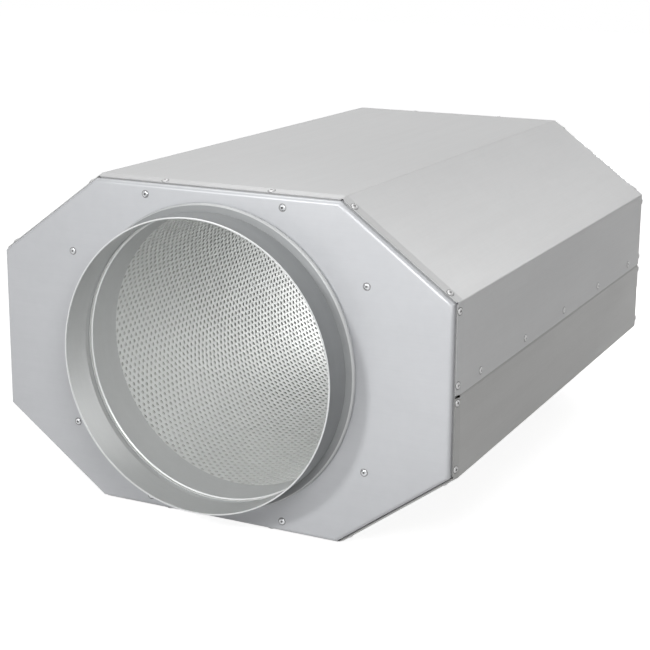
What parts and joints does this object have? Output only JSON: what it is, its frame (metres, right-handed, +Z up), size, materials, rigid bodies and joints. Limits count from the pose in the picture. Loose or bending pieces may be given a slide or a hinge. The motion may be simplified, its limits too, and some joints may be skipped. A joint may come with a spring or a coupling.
{
  "type": "duct sound attenuator",
  "caption": "Sheet-steel box with slanted corners, packed with wool round a perforated tube, with a beaded round spigot at each end; quiets the air noise in a round duct.",
  "frame": {"origin": "centre of the air passage, on the duct axis half way along the casing", "axes": "+Y along the duct axis from the front spigot to the rear spigot, +X to the right side panel, +Z up to the top panel"},
  "size_m": [0.5438, 0.78, 0.366],
  "materials": {
    "shell_sheet": "satin zinc-coated sheet",
    "plate_sheet": "satin zinc-coated sheet",
    "spigot_sheet": "satin zinc-coated rolled sheet",
    "tube_sheet": "zinc-coated perforated sheet",
    "rivet_metal": "bright set blind rivets",
    "wool": "matted mineral wool",
    "fleece": "pale fibre fleece"
  },
  "bodies": {
    "root": {"upper_shell": "shell_sheet", "lower_shell": "shell_sheet", "front_end_plate": "plate_sheet", "rear_end_plate": "plate_sheet", "front_spigot": "spigot_sheet", "rear_spigot": "spigot_sheet", "front_tube_carrier": "plate_sheet", "rear_tube_carrier": "plate_sheet", "perforated_tube": "tube_sheet", "fleece_wrap": "fleece", "upper_wool_infill": "wool", "lower_wool_infill": "wool", "front_face_rivets": "rivet_metal", "rear_face_rivets": "rivet_metal", "front_upper_rim_rivets": "rivet_metal", "front_lower_rim_rivets": "rivet_metal", "rear_upper_rim_rivets": "rivet_metal", "rear_lower_rim_rivets": "rivet_metal", "right_seam_rivets": "rivet_metal", "left_seam_rivets": "rivet_metal"}
  },
  "joints": []
}
